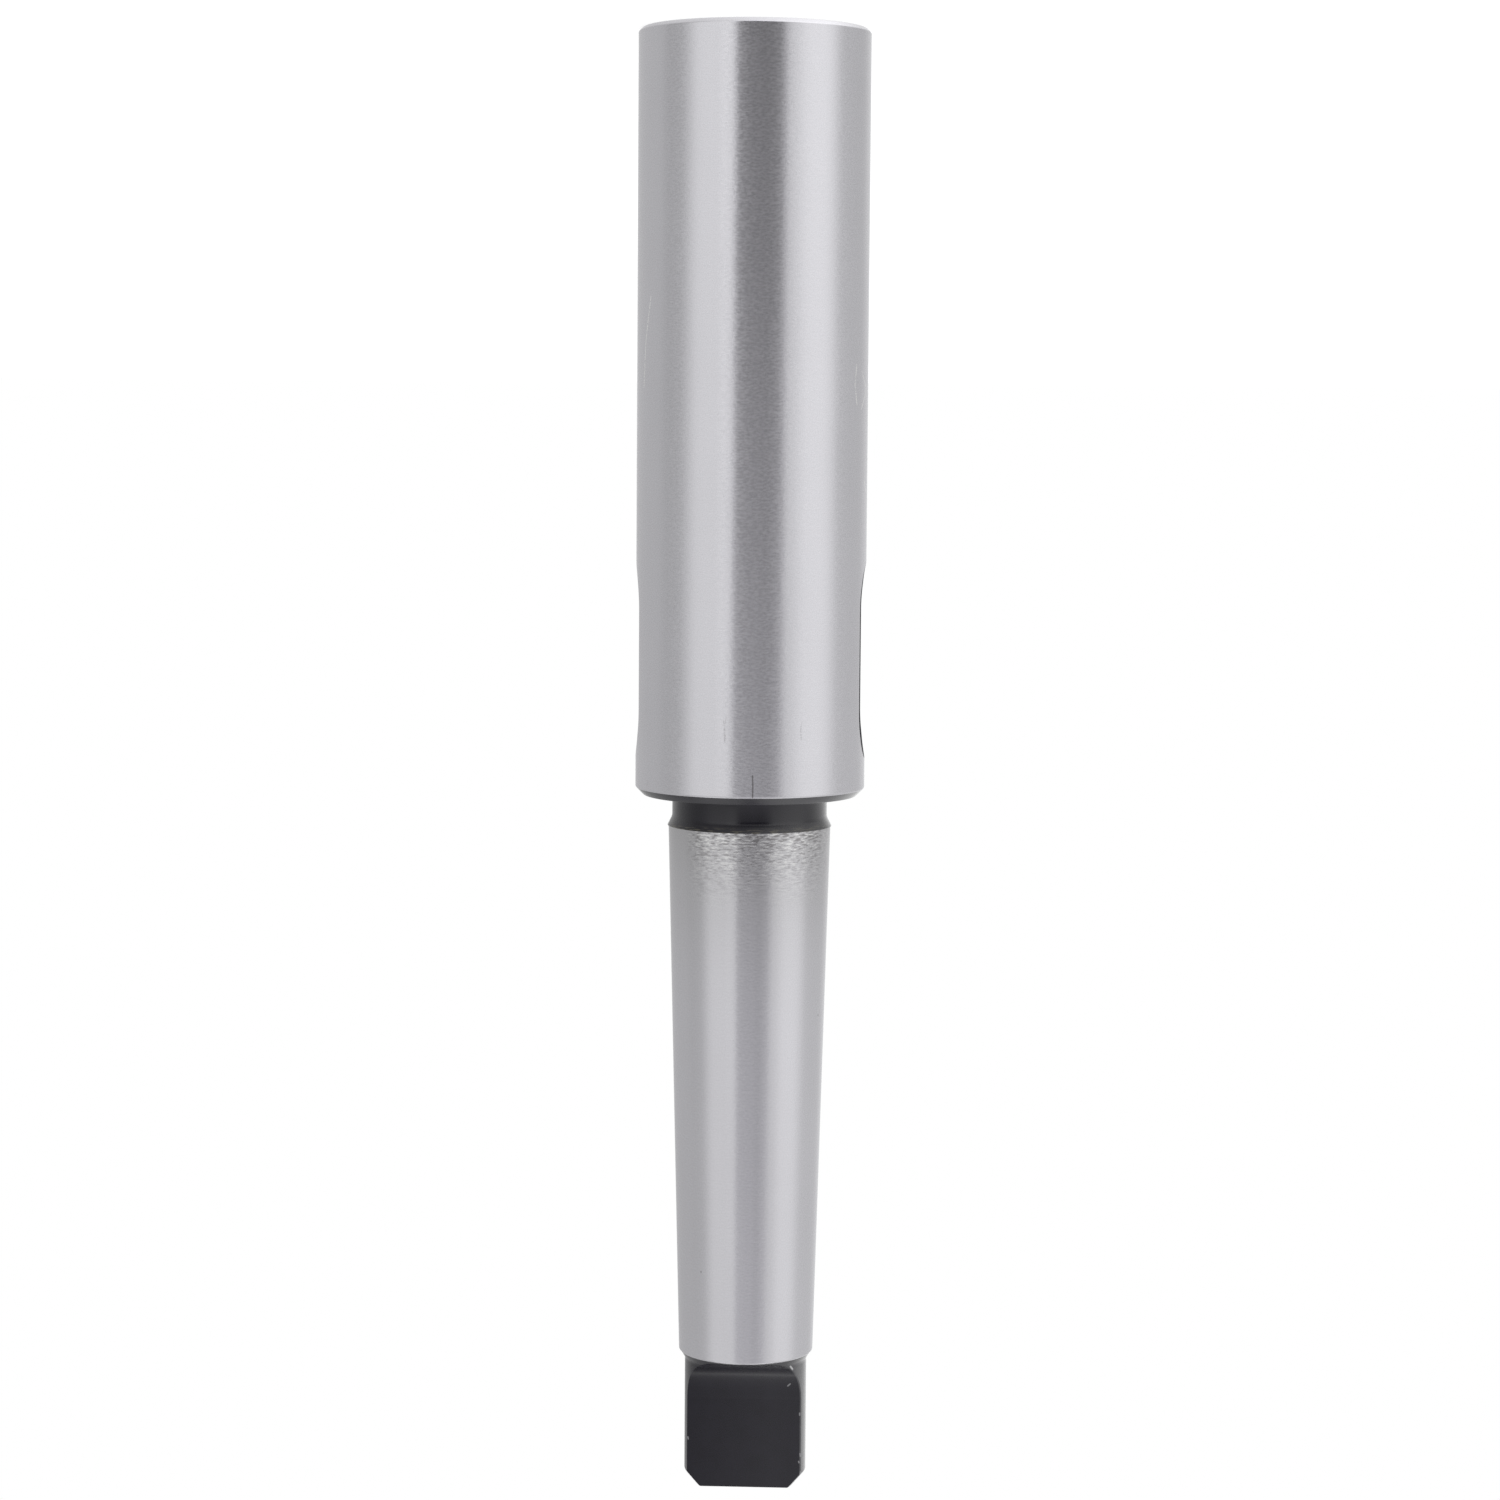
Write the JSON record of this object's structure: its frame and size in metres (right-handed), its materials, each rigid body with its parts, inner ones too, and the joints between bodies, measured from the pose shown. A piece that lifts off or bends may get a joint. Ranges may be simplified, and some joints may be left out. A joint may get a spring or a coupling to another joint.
{
  "type": "morse taper extension sleeve",
  "caption": "One-piece steel extension sleeve with a conical socket in a round barrel, a drift slot between two flats, and a ground conical shank that ends in a flat tang.",
  "frame": {"origin": "centre of the socket's mouth face, which the sleeve stands on", "axes": "+Z along the spindle axis from the socket mouth to the tang's tip; X through the drift slot; the tang's flats face +Y and -Y"},
  "size_m": [0.034, 0.034, 0.2167],
  "materials": {
    "ground_steel": "cylindrically ground on barrel and cone, black from hardening on the neck, the tang and in the slot"
  },
  "bodies": {
    "root": {"sleeve": "ground_steel"}
  },
  "joints": []
}
